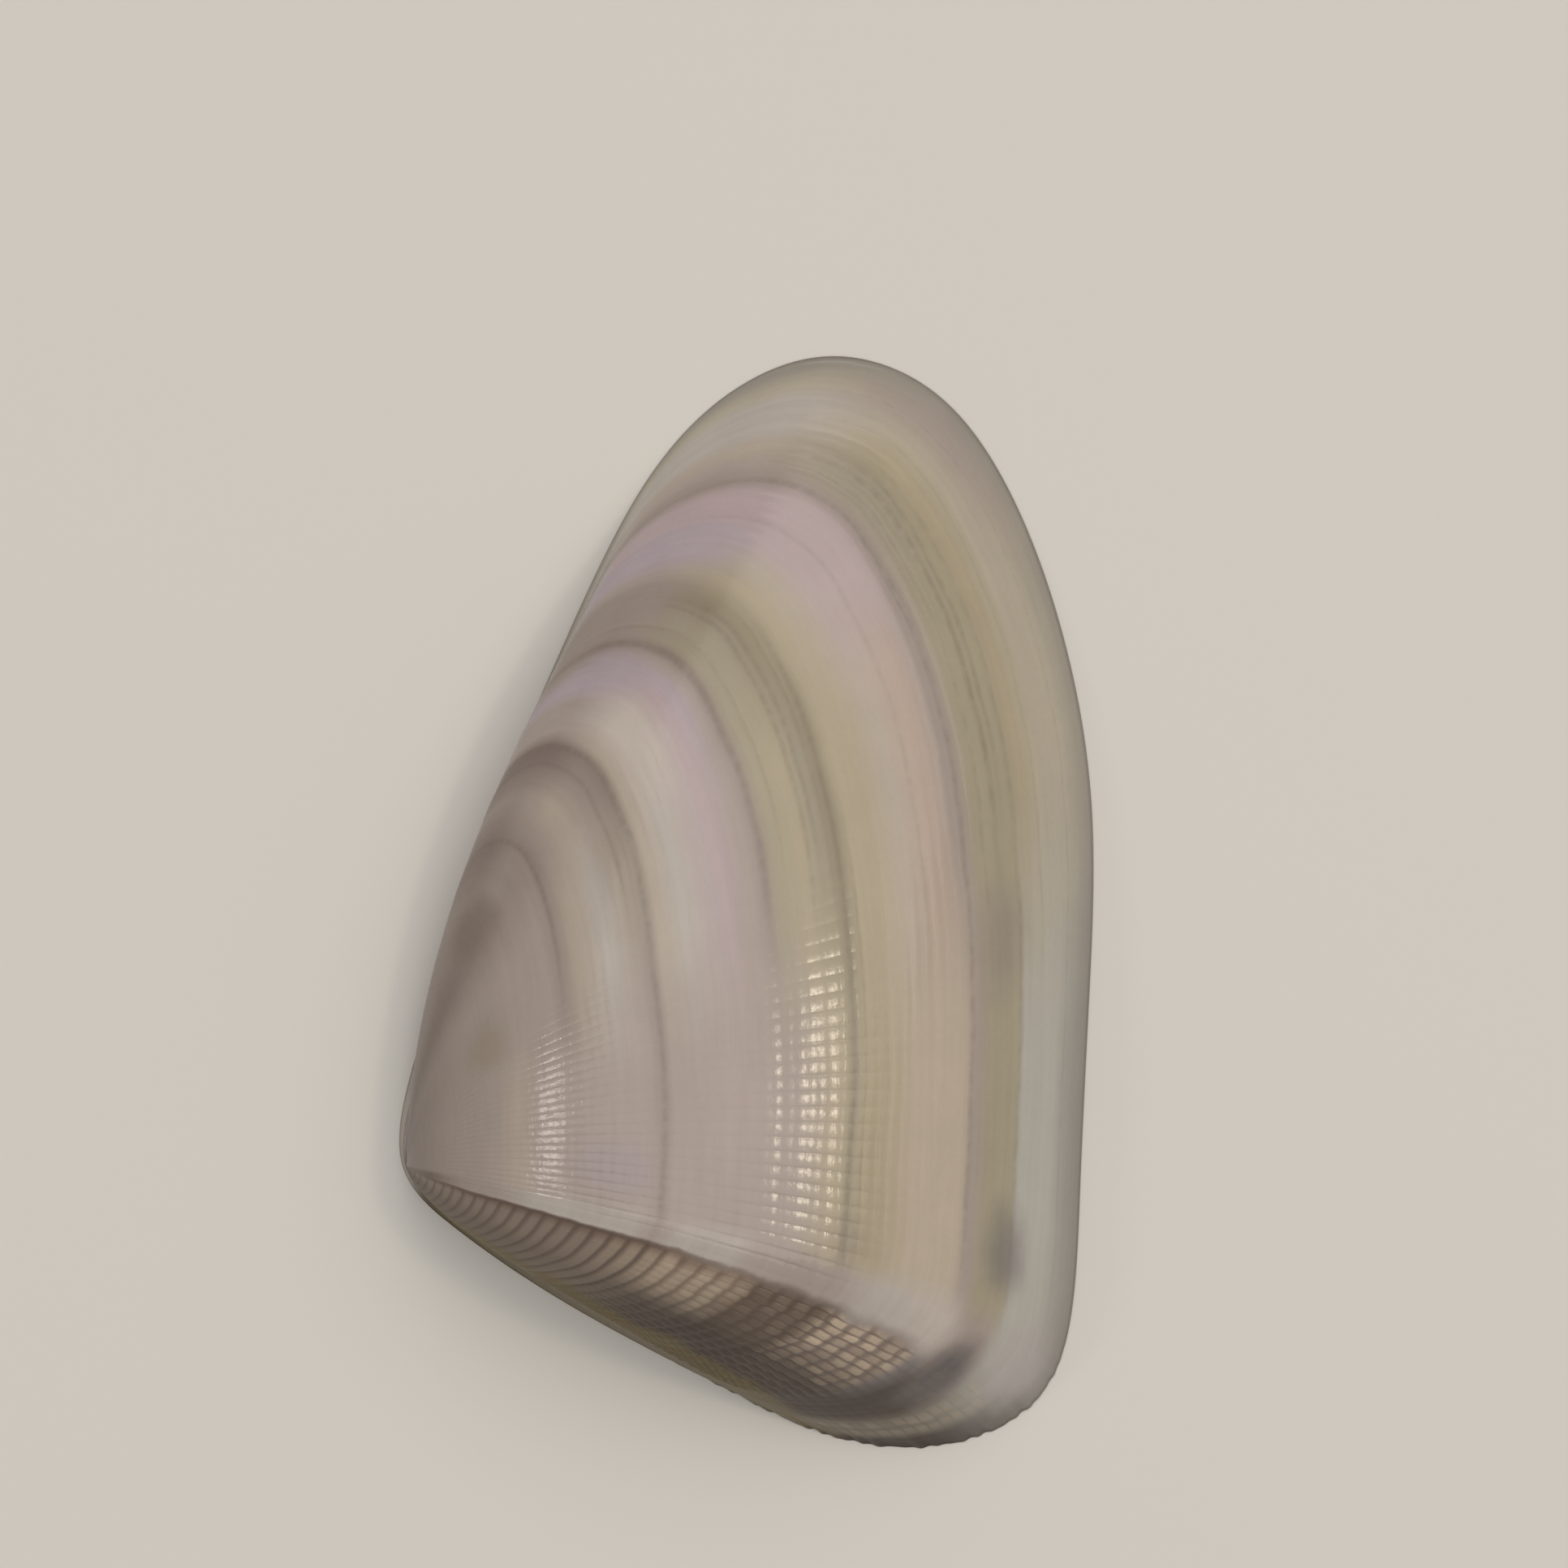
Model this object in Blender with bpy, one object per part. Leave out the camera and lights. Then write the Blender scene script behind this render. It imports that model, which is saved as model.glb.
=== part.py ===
"""Right valve of a wedge clam, lying hollow side down on the flat rim of its opening.

The shell is a growth form. Its margin is one closed outline in the plane of the opening, and each earlier
margin is a smaller copy of it, turned up about the hinge line and drawn towards the beak. The outside is
all these margins joined up, and the hollow is the same form less the thickness of the wall.
+X runs from the beak to the free edge, +Y to the rounded front end, and +Z up through the vault.
"""

import math

import bmesh
import bpy
import numpy as np
from mathutils import Matrix, Vector
from mathutils.bvhtree import BVHTree

MM = 0.001

# Driving sizes, in millimetres and degrees
SHELL_LENGTH = 38.0
INFLATION = 0.95
WALL_AT_RIM = 0.75
WALL_IN_VAULT = 1.25
RIM_WIDTH = 0.70
WALL_FULL_AT = 0.4
LEAST_HEIGHT = 0.02
BEAK = Vector((-11.86, -9.13, 0.60))
TURN_AT_BEAK = -83.2
HINGE_LINE = Vector((0.094, 1.0, -0.115)).normalized()
HOLLOW_CENTRE = Vector((-0.55, -1.10))

# The margin of the grown shell, clockwise from the beak, and how far off it each point lay, scaled up, when
# the shell was young. The young shell was narrower at the hinge and sharper at the corner of its keel.
MARGIN = [
    ((-12.00, -9.04), (0.0, 0.0)),
    ((-11.23, -4.44), (0.6, 0.0)),
    ((-9.23, 2.01), (1.2, -0.3)),
    ((-6.43, 8.79), (1.1, -0.2)),
    ((-3.52, 14.53), (0.7, 0.2)),
    ((-0.55, 17.66), (0.2, 0.3)),
    ((2.84, 18.88), (0.4, 0.4)),
    ((6.23, 17.81), (0.8, 0.2)),
    ((8.80, 14.72), (0.8, -0.3)),
    ((10.81, 9.64), (0.7, -0.4)),
    ((11.91, 3.42), (0.5, -0.5)),
    ((11.83, -3.36), (1.1, -0.4)),
    ((11.52, -9.86), (1.0, 0.1)),
    ((11.09, -14.95), (0.8, 0.9)),
    ((9.79, -17.49), (1.1, 1.5)),
    ((6.51, -18.88), (0.2, 0.7)),
    ((2.56, -18.43), (-1.2, 0.0)),
    ((-0.55, -17.01), (-1.0, -0.4)),
    ((-6.01, -14.10), (-0.4, -0.2)),
    ((-10.16, -11.30), (-0.1, -0.1)),
]
YOUTH_EASE = 3.3

# How finely the form is drawn
STATIONS = 92
GROWTH_RINGS = 25
YOUNGEST_RING = 0.06
HOLLOW_RINGS = 17
HOLLOW_RING_EASE = 1.6
INNERMOST_RING = 0.9

# The hinge plate, a shelf inside the margin under the beak, and the teeth that stand on it
PLATE_HEIGHT = 0.95
PLATE_RISE = 1.7
PLATE_WIDTH_AT_BEAK = 2.1
PLATE_REACH_AT_BEAK = 4.5
PLATE_WIDTH_AT_SIDES = 1.1
PLATE_REACH_AT_SIDES = 11.0
BLEND = 0.8
SMOOTHINGS = 4
TOOTH_CREST = 0.25
TOOTH_ROOT = 1.35
TEETH = [
    ("front_cardinal_tooth", (-10.85, -8.55), (-9.35, -7.55), 0.50),
    ("rear_cardinal_tooth", (-10.75, -9.55), (-9.30, -10.35), 0.60),
    ("front_lateral_tooth", (-9.75, -3.60), (-8.55, 0.30), 0.55),
    ("rear_lateral_tooth", (-6.90, -12.35), (-4.60, -13.60), 0.55),
]


def closed_curve(points, knots, places):
    """Read places off the smooth closed curve, a periodic cubic, that passes the points at the knots."""
    count = len(points)
    span = np.diff(knots)
    before = np.roll(span, 1)
    slope = (np.roll(points, -1, axis=0) - points) / span[:, None]
    ties = np.zeros((count, count))
    for i in range(count):
        ties[i, i - 1] = before[i]
        ties[i, i] = 2 * (before[i] + span[i])
        ties[i, (i + 1) % count] = span[i]
    bend = np.linalg.solve(ties, 6 * (slope - np.roll(slope, 1, axis=0)))
    i = np.searchsorted(knots, places, side="right") - 1
    j = (i + 1) % count
    h = span[i][:, None]
    b = (places - knots[i])[:, None] / h
    a = 1 - b
    return a * points[i] + b * points[j] + ((a**3 - a) * bend[i] + (b**3 - b) * bend[j]) * h**2 / 6


def margins(count):
    """Return the grown margin and how far off it the young one lay, as matching arrays of count points."""
    grown = np.array([place for place, _ in MARGIN])
    offset = np.array([shift for _, shift in MARGIN])
    chords = np.linalg.norm(np.roll(grown, -1, axis=0) - grown, axis=1)
    knots = np.concatenate([[0.0], np.cumsum(np.sqrt(chords))])
    places = np.arange(count) * knots[-1] / count
    return closed_curve(grown, knots, places), closed_curve(offset, knots, places)


def growth_ring(grown, offset, size):
    """Return the margin as it stood when the shell had the given size, where 1 is fully grown."""
    turn = math.radians(TURN_AT_BEAK) * (1 - size)
    turning = Matrix.Rotation(turn, 3, HINGE_LINE)
    flat = grown + offset * (1 - size**YOUTH_EASE)
    ring = []
    for x, y in flat.tolist():
        point = BEAK + size * (turning @ (Vector((x, y, 0)) - BEAK))
        point.z *= INFLATION
        ring.append(point)
    return ring


def start_ring(mesh, points):
    """Make a closed loop of edges through the points and number its vertices in a layer."""
    station = mesh.verts.layers.int.new("station")
    loop = bmesh.ops.create_circle(mesh, segments=len(points), radius=1)["verts"]
    for i, vertex in enumerate(loop):
        vertex[station] = i
        vertex.co = points[i]
    return list(mesh.edges)


def next_ring(mesh, edges, points):
    """Extrude the loop of edges and move its new vertices onto the points."""
    station = mesh.verts.layers.int["station"]
    made = bmesh.ops.extrude_edge_only(mesh, edges=edges)["geom"]
    for vertex in made:
        if isinstance(vertex, bmesh.types.BMVert):
            vertex.co = points[vertex[station]]
    return [edge for edge in made if isinstance(edge, bmesh.types.BMEdge) and len(edge.link_faces) == 1]


def close_ring(mesh, edges, tip):
    """Extrude the loop once more and draw it together in one point."""
    made = bmesh.ops.extrude_edge_only(mesh, edges=edges)["geom"]
    last = [vertex for vertex in made if isinstance(vertex, bmesh.types.BMVert)]
    bmesh.ops.pointmerge(mesh, verts=last, merge_co=tip)


def inward(points, width):
    """Return the plan outline moved in by the width, square to its own run."""
    along = np.roll(points, -1, axis=0) - np.roll(points, 1, axis=0)
    along /= np.linalg.norm(along, axis=1)[:, None]
    return points + width * np.column_stack([along[:, 1], -along[:, 0]])


def plate_height(hinge_edge, place):
    """Height of the hinge plate at a place, rising steeply past the width the plate has there."""
    gaps = np.linalg.norm(hinge_edge[:, :2] - place, axis=1)
    nearest = int(np.argmin(gaps))
    run = hinge_edge[nearest, 2]
    width = PLATE_WIDTH_AT_BEAK * math.exp(-((run / PLATE_REACH_AT_BEAK) ** 2))
    width += PLATE_WIDTH_AT_SIDES * math.exp(-((run / PLATE_REACH_AT_SIDES) ** 4))
    return PLATE_HEIGHT + PLATE_RISE * max(0.0, gaps[nearest] - width)


def lower_of(first, second):
    """Return the smaller of two heights, with a soft crease where they cross."""
    near = max(0.0, 1 - abs(first - second) / BLEND)
    return min(first, second) - BLEND * near**2 / 4


def wall_height(outside, place, wall):
    """Height under the outside surface at which the shell there is as thick as the wall."""
    roof = outside.ray_cast(Vector((*place, SHELL_LENGTH)), Vector((0, 0, -1)))[0]
    if roof is None:
        return 0.0
    low = 0.0
    high = roof.z
    for _ in range(18):
        middle = (low + high) / 2
        gap = outside.find_nearest(Vector((*place, middle)))[3]
        if gap > wall:
            low = middle
        else:
            high = middle
    return low


def smoothed(heights):
    """Even out the table of heights, one row to a ring, and keep its first row."""
    for _ in range(SMOOTHINGS):
        around = (np.roll(heights, 1, axis=1) + np.roll(heights, -1, axis=1)) / 2
        across = heights.copy()
        across[1:-1] = (heights[:-2] + heights[2:]) / 2
        heights[1:] = heights[1:] / 2 + around[1:] / 4 + across[1:] / 4
    return heights


def hollow_rings(outside, grown):
    """Return the rings of the hollow, from the inner edge of the rim to the middle of the vault."""
    run = np.concatenate([[0.0], np.cumsum(np.linalg.norm(np.diff(grown, axis=0), axis=1))])
    whole = run[-1] + np.linalg.norm(grown[0] - grown[-1])
    from_beak = np.where(run > whole / 2, run - whole, run)
    hinge_edge = np.column_stack([grown, from_beak])
    edge = inward(grown, RIM_WIDTH)
    centre = np.array(HOLLOW_CENTRE)
    ways_in = INNERMOST_RING * np.linspace(0, 1, HOLLOW_RINGS) ** HOLLOW_RING_EASE
    plans = [edge + (centre - edge) * way_in for way_in in ways_in]
    heights = np.zeros((len(plans), len(edge)))
    for row in range(1, len(plans)):
        wall = WALL_AT_RIM + (WALL_IN_VAULT - WALL_AT_RIM) * min(1.0, ways_in[row] / WALL_FULL_AT)
        for i, place in enumerate(plans[row]):
            height = lower_of(wall_height(outside, place, wall), plate_height(hinge_edge, place))
            heights[row, i] = max(height, LEAST_HEIGHT)
    rings = []
    for plan, row in zip(plans, smoothed(heights).tolist()):
        rings.append([Vector((x, y, z)) for (x, y), z in zip(plan, row)])
    return rings


def make_valve():
    """Build the shell wall: the outside from rim to beak, then the rim and the hollow."""
    grown, offset = margins(STATIONS)
    mesh = bmesh.new()
    edges = start_ring(mesh, growth_ring(grown, offset, 1.0))
    for size in np.linspace(1.0, YOUNGEST_RING, GROWTH_RINGS).tolist()[1:]:
        edges = next_ring(mesh, edges, growth_ring(grown, offset, size))
    tip = Vector((BEAK.x, BEAK.y, BEAK.z * INFLATION))
    close_ring(mesh, edges, tip)
    outside = BVHTree.FromBMesh(mesh)
    edges = [edge for edge in mesh.edges if len(edge.link_faces) == 1]
    rings = hollow_rings(outside, grown)
    for ring in rings:
        edges = next_ring(mesh, edges, ring)
    peak = sum(rings[-1], Vector()) / len(rings[-1])
    close_ring(mesh, edges, peak)
    bmesh.ops.recalc_face_normals(mesh, faces=mesh.faces)
    return mesh


def rest_on_origin(mesh):
    """Scale the mesh to metres, centred over the origin and standing on it, and return that move."""
    places = np.array([vertex.co[:] for vertex in mesh.verts])
    low = places.min(axis=0)
    high = places.max(axis=0)
    centre = Vector((-(low[0] + high[0]) / 2, -(low[1] + high[1]) / 2, -low[2]))
    scale = SHELL_LENGTH / (high[1] - low[1])
    return Matrix.Scale(scale * MM, 4) @ Matrix.Translation(centre)


def make_tooth(name, start, end, width, seat):
    """A low ridge with a rounded crest, standing on the hinge plate from start to end."""
    run = Vector(end) - Vector(start)
    middle = (Vector(start) + Vector(end)) / 2
    mesh = bmesh.new()
    bmesh.ops.create_cube(mesh, size=1)
    bmesh.ops.scale(mesh, vec=(run.length, width, TOOTH_ROOT - TOOTH_CREST), verts=mesh.verts)
    crest = [edge for edge in mesh.edges if all(vertex.co.z < 0 for vertex in edge.verts)]
    bmesh.ops.bevel(mesh, geom=crest, offset=width * 0.4, offset_type="OFFSET", segments=2, affect="EDGES",
                    profile=0.5, material=-1)
    turning = Matrix.Rotation(math.atan2(run.y, run.x), 4, "Z")
    place = Matrix.Translation((middle.x, middle.y, (TOOTH_ROOT + TOOTH_CREST) / 2))
    bmesh.ops.transform(mesh, matrix=seat @ place @ turning, verts=mesh.verts)
    tooth = as_object(name, mesh)
    tooth.hide_render = True
    tooth.display_type = "WIRE"
    return tooth


def as_object(name, mesh):
    """Turn the bmesh into an object of the scene."""
    data = bpy.data.meshes.new(name)
    mesh.to_mesh(data)
    mesh.free()
    made = bpy.data.objects.new(name, data)
    bpy.context.scene.collection.objects.link(made)
    return made


def shell_material():
    """Pale pinkish grey shell with a satin polish."""
    material = bpy.data.materials.new("aragonite shell")
    material.use_nodes = True
    surface = material.node_tree.nodes["Principled BSDF"]
    surface.inputs["Base Color"].default_value = (0.46, 0.38, 0.33, 1)
    surface.inputs["Roughness"].default_value = 0.35
    surface.inputs["Metallic"].default_value = 0.0
    return material


for old in list(bpy.data.objects):
    bpy.data.objects.remove(old, do_unlink=True)

wall = make_valve()
seat = rest_on_origin(wall)
bmesh.ops.transform(wall, matrix=seat, verts=wall.verts)
valve = as_object("right_valve", wall)
for name, start, end, width in TEETH:
    union = valve.modifiers.new(name, "BOOLEAN")
    union.operation = "UNION"
    union.solver = "EXACT"
    union.object = make_tooth(name, start, end, width, seat)
valve.data.materials.append(shell_material())
valve.data.shade_smooth()
valve.data.set_sharp_from_angle(angle=math.radians(40))
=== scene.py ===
"""A small beach clam shell, one valve, lying hollow side down on a pale table and seen from straight above."""

import math

import bmesh
import bpy
import numpy as np
from mathutils import Matrix, Vector
from mathutils.bvhtree import BVHTree


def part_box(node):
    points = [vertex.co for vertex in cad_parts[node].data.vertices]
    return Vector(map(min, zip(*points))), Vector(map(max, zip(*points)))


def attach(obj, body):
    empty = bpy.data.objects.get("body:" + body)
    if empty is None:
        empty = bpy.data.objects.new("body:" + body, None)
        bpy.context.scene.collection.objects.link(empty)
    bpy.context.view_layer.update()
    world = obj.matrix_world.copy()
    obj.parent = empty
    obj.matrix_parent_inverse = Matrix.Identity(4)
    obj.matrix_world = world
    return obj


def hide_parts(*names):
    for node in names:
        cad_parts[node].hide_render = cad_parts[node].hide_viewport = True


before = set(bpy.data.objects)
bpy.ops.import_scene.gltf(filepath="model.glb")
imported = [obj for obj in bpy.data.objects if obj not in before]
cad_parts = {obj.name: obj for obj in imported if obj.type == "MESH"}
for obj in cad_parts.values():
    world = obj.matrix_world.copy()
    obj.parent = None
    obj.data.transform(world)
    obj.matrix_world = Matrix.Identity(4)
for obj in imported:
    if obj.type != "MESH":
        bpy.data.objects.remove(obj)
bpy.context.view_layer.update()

# Right valve: form. Half of a clam's shell, of aragonite that the animal laid down at its edge, line after
# line. Each growth line is a smaller copy of the grown margin, turned up about the hinge, so the outside is
# drawn by that one law, and the hollow is the same form less the thickness of the wall.
BEAK = np.array([-11.86, -9.13, 0.60])      # all of the shell's own sizes are in mm
HINGE_LINE = Vector((0.094, 1.0, -0.115)).normalized()
TURN_AT_BEAK = -83.2        # degrees that the first growth line is turned up
INFLATION = 0.95
YOUTH_EASE = 3.3            # how fast the young outline passes into the grown one
MARGIN = [
    # grown place, and how far off it that point of the young shell lay, clockwise from the beak
    ((-12.00, -9.04), (0.0, 0.0)),
    ((-11.23, -4.44), (0.6, 0.0)),
    ((-9.23, 2.01), (1.2, -0.3)),
    ((-6.43, 8.79), (1.1, -0.2)),
    ((-3.52, 14.53), (0.7, 0.2)),
    ((-0.55, 17.66), (0.2, 0.3)),
    ((2.84, 18.88), (0.4, 0.4)),
    ((6.23, 17.81), (0.8, 0.2)),
    ((8.80, 14.72), (0.8, -0.3)),
    ((10.81, 9.64), (0.7, -0.4)),
    ((11.91, 3.42), (0.5, -0.5)),
    ((11.83, -3.36), (1.1, -0.4)),
    ((11.52, -9.86), (1.0, 0.1)),
    ((11.09, -14.95), (0.8, 0.9)),
    ((9.79, -17.49), (1.1, 1.5)),
    ((6.51, -18.88), (0.2, 0.7)),
    ((2.56, -18.43), (-1.2, 0.0)),
    ((-0.55, -17.01), (-1.0, -0.4)),
    ((-6.01, -14.10), (-0.4, -0.2)),
    ((-10.16, -11.30), (-0.1, -0.1)),
]
LAST = len(MARGIN)
# Places along the margin are counted in its points: 14 is the corner of the keel, 16 the end of the slope
SPACING = [(0, 0.13), (1, 0.16), (2, 0.34), (5, 0.37), (8, 0.27), (10, 0.18), (14, 0.15), (14.2, 0.10),
           (16.2, 0.10), (17.2, 0.22), (19, 0.17), (20, 0.13)]
# The growth lines trail back a little on the rear slope, and run ahead at the front, by this share of the size
LAG = [(0, 0.0), (4.0, 0.0), (4.5, -0.004), (5.0, -0.010), (5.5, -0.013), (6.0, -0.011), (6.6, -0.005),
       (7.3, 0.0), (14.15, 0.0), (16.4, 0.035), (18, 0.025), (20, 0.0)]
# Rings of the mesh, closest together where the beads are: first and last size, and how many
RINGS = [(1.0, 0.89, 17), (0.885, 0.61, 60), (0.603, 0.34, 37), (0.33, 0.10, 21), (0.09, 0.02, 7)]
# Pauses in growth: size reached, depth of the groove and height of the shoulder before it, in mm
PAUSES = [(0.235, 0.004, 0.006), (0.316, 0.003, 0.006), (0.375, 0.004, 0.006), (0.492, 0.012, 0.014),
          (0.618, 0.008, 0.010), (0.669, 0.003, 0.004), (0.699, 0.011, 0.012), (0.785, 0.002, 0.004),
          (0.834, 0.009, 0.010), (0.895, 0.008, 0.010), (0.955, 0.003, 0.005)]
PAUSE_WIDTH = 0.008         # in share of the size, as are the next two
SHOULDER_WIDTH = 0.009
SHOULDER_LEAD = 0.010
SWELLS = [(0.006, 8.3, 1.0, 0.3), (0.004, 19.0, 0.0, 0.5)]      # height, waves from beak to edge, lead, slant
RIB_PITCH = 0.87            # flat ribs of the disc, along the grown edge
RIB_HEIGHT = 0.004
KEEL_THREAD = (14.12, 0.015)        # place in margin points, and height
KEEL_FURROW = (14.24, -0.012)
KEEL_HALF_WIDTH = 0.06
CORD_START = 14.30          # beaded cords of the rear slope, in margin points
CORD_PITCH = 0.118
CORD_HEIGHT = 0.10
BEAD_PITCH = 0.0235         # rows of scales and beads, in share of the grown size
BEADS_RAISED = [(0.0, 0.0), (0.3, 0.0), (0.46, 0.06), (0.52, 0.30), (0.62, 0.35), (0.70, 0.30), (0.745, 0.85),
                (0.83, 1.0), (0.85, 0.08), (0.91, 0.08), (0.95, 0.15), (1.0, 0.3)]
SCALE_HEIGHT = 0.034
SCALLOP_PITCH = 0.50        # low bumps along the worn rear edge
SCALLOP_HEIGHT = 0.020
SCALLOP_WAVES = [(1.0, 0.0), (1.37, 1.0), (2.9, 2.0)]       # stretch of the pitch, and lead
EDGE_HEIGHT = 0.06          # how high the rounded grown edge stands off the plane of the opening


def closed_curve(points, knots, places):
    """Read places off the smooth closed curve, a periodic cubic, that passes the points at the knots."""
    count = len(points)
    span = np.diff(knots)
    before = np.roll(span, 1)
    slope = (np.roll(points, -1, axis=0) - points) / span[:, None]
    ties = np.zeros((count, count))
    for i in range(count):
        ties[i, i - 1] = before[i]
        ties[i, i] = 2 * (before[i] + span[i])
        ties[i, (i + 1) % count] = span[i]
    bend = np.linalg.solve(ties, 6 * (slope - np.roll(slope, 1, axis=0)))
    i = np.searchsorted(knots, places, side="right") - 1
    j = (i + 1) % count
    h = span[i][:, None]
    b = (places - knots[i])[:, None] / h
    a = 1 - b
    return a * points[i] + b * points[j] + ((a**3 - a) * bend[i] + (b**3 - b) * bend[j]) * h**2 / 6


def margin_at(places):
    """The grown margin, and how far off it the young one lay, at places counted in margin points."""
    grown = np.array([place for place, _ in MARGIN])
    offset = np.array([shift for _, shift in MARGIN])
    chords = np.linalg.norm(np.roll(grown, -1, axis=0) - grown, axis=1)
    knots = np.concatenate([[0.0], np.cumsum(np.sqrt(chords))])
    at_knots = np.interp(np.mod(places, LAST), np.arange(LAST + 1), knots)
    return closed_curve(grown, knots, at_knots), closed_curve(offset, knots, at_knots)


def growth_lines(places, sizes):
    """Points of the smooth outside, one row to a size and one column to a place."""
    grown, offset = margin_at(places)
    rows = []
    for size in sizes:
        turning = np.array(Matrix.Rotation(math.radians(TURN_AT_BEAK) * (1 - size), 3, HINGE_LINE))
        flat = grown + offset * (1 - size**YOUTH_EASE)
        arm = np.column_stack([flat, np.zeros(len(flat))]) - BEAK
        rows.append(BEAK + size * arm @ turning.T)
    points = np.array(rows)
    points[..., 2] *= INFLATION
    return points


def outward(places, sizes):
    """Unit normals of the smooth outside at the same rows and columns."""
    older = growth_lines(places, sizes + 0.002)
    younger = growth_lines(places, sizes - 0.002)
    ahead = growth_lines(places + 0.01, sizes)
    behind = growth_lines(places - 0.01, sizes)
    normals = np.cross(ahead - behind, older - younger)
    return normals / np.linalg.norm(normals, axis=2)[..., None]


def eased(low, high, values):
    """Rise smoothly from 0 at low to 1 at high."""
    t = np.clip((values - low) / (high - low), 0, 1)
    return t * t * (3 - 2 * t)


def lag_at(places):
    """Share of its size by which the growth line trails at each place."""
    return np.interp(places, *zip(*LAG))


def relief(places, sizes):
    """Height of the carving above the smooth outside: pauses, ribs, cords and beads, in mm."""
    u = places[None, :]
    s = sizes[:, None]
    age = s * (1 - lag_at(places)[None, :])
    height = np.zeros((len(sizes), len(places)))
    disc = eased(4.0, 8.5, u) * (1 - eased(13.9, 14.3, u))
    slope = eased(14.15, 14.5, u) * (1 - eased(17.0, 18.0, u))
    strength = 0.25 + 0.75 * np.maximum(disc, slope)
    for size, depth, shoulder in PAUSES:
        gap = age - size
        height -= strength * depth * np.exp(-((gap / PAUSE_WIDTH) ** 2))
        height += strength * shoulder * np.exp(-((gap + SHOULDER_LEAD) / SHOULDER_WIDTH) ** 2)
    for swell, waves, lead, slant in SWELLS:
        height += swell * np.sin(2 * math.pi * age * waves + lead + slant * u) * eased(0.2, 0.5, s)
    ribs = eased(9.4, 11.0, u) * (1 - eased(13.8, 14.1, u)) * eased(0.28, 0.45, s) * (1 - eased(0.72, 0.85, s))
    height += RIB_HEIGHT * ribs * np.sqrt(np.abs(np.sin(math.pi * arc[None, :] / RIB_PITCH)) + 0.02)
    # the keel: a fine thread with a furrow below it, lost near the grown edge
    keel = eased(0.1, 0.5, s) * (1 - eased(0.78, 0.88, s))
    for place, stand in (KEEL_THREAD, KEEL_FURROW):
        height += stand * keel * np.exp(-(((u - place) / KEEL_HALF_WIDTH) ** 2))
    # the slope: rows of scales that follow the growth lines, and cords that turn them into beads
    across = (u - CORD_START) / CORD_PITCH
    cord = 0.5 - 0.5 * np.cos(2 * math.pi * across)
    along = np.mod(age / BEAD_PITCH, 1.0)
    scale = eased(0.0, 0.62, along) * (1 - eased(0.70, 1.0, along))
    cords = eased(14.36, 14.50, u) * (1 - eased(16.4, 17.2, u))
    raised = np.interp(age, *zip(*BEADS_RAISED))
    beads = cords * raised * (cord**0.7 * (0.35 + 0.65 * scale) - 0.35)
    height += CORD_HEIGHT * beads
    rows = slope * eased(0.10, 0.2, age) * (1 - eased(0.70, 0.80, age))
    height += SCALE_HEIGHT * rows * scale
    # the worn rear edge is finely scalloped
    worn = eased(13.0, 14.0, u) * (1 - eased(16.8, 17.6, u)) * eased(0.955, 0.995, s)
    wave = sum(np.sin(2 * math.pi * arc / (SCALLOP_PITCH * stretch) + lead)
               for stretch, lead in SCALLOP_WAVES)
    height += SCALLOP_HEIGHT * worn * wave[None, :]
    return height


def start_ring(mesh, points):
    """Make a closed loop of edges through the points and number its vertices in a layer."""
    station = mesh.verts.layers.int.get("station") or mesh.verts.layers.int.new("station")
    loop = bmesh.ops.create_circle(mesh, segments=len(points), radius=1)["verts"]
    for i, vertex in enumerate(loop):
        vertex[station] = i
        vertex.co = points[i]
    return list({edge for vertex in loop for edge in vertex.link_edges})


def next_ring(mesh, edges, points):
    """Extrude the loop of edges and move its new vertices onto the points."""
    station = mesh.verts.layers.int["station"]
    made = bmesh.ops.extrude_edge_only(mesh, edges=edges)["geom"]
    for vertex in made:
        if isinstance(vertex, bmesh.types.BMVert):
            vertex.co = points[vertex[station]]
    return [edge for edge in made if isinstance(edge, bmesh.types.BMEdge) and len(edge.link_faces) == 1]


def note(edges, size, age):
    """Write the growth place, the size, the age and the number of ribs passed into the ring's vertices."""
    for vertex in {vertex for edge in edges for vertex in edge.verts}:
        i = vertex[station]
        vertex[around] = places[i]
        vertex[reached] = size
        vertex[grown_at] = age[i]
        vertex[rib_count] = arc[i] / RIB_PITCH


walk = np.linspace(0, LAST, 8001)
line = margin_at(walk)[0]
steps = np.linalg.norm(np.diff(line, axis=0), axis=1)
gaps = np.interp((walk[1:] + walk[:-1]) / 2, *zip(*SPACING))
tally = np.concatenate([[0.0], np.cumsum(steps / gaps)])
run = np.concatenate([[0.0], np.cumsum(steps)])
COUNT = 4 * round(tally[-1] / 4)
places = np.interp(np.arange(COUNT) * tally[-1] / COUNT, tally, walk)
arc = np.interp(places, walk, run)

# from the grown edge back to the beak
sizes = np.concatenate([np.linspace(*ring) for ring in RINGS])
normals = outward(places, sizes)
carving = relief(places, sizes)
outside = growth_lines(places, sizes) + carving[..., None] * normals
# the grown edge itself keeps its place in the plane of the opening
outside[0, :, 2] = EDGE_HEIGHT
ages = sizes[:, None] * (1 - lag_at(places)[None, :])

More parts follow.
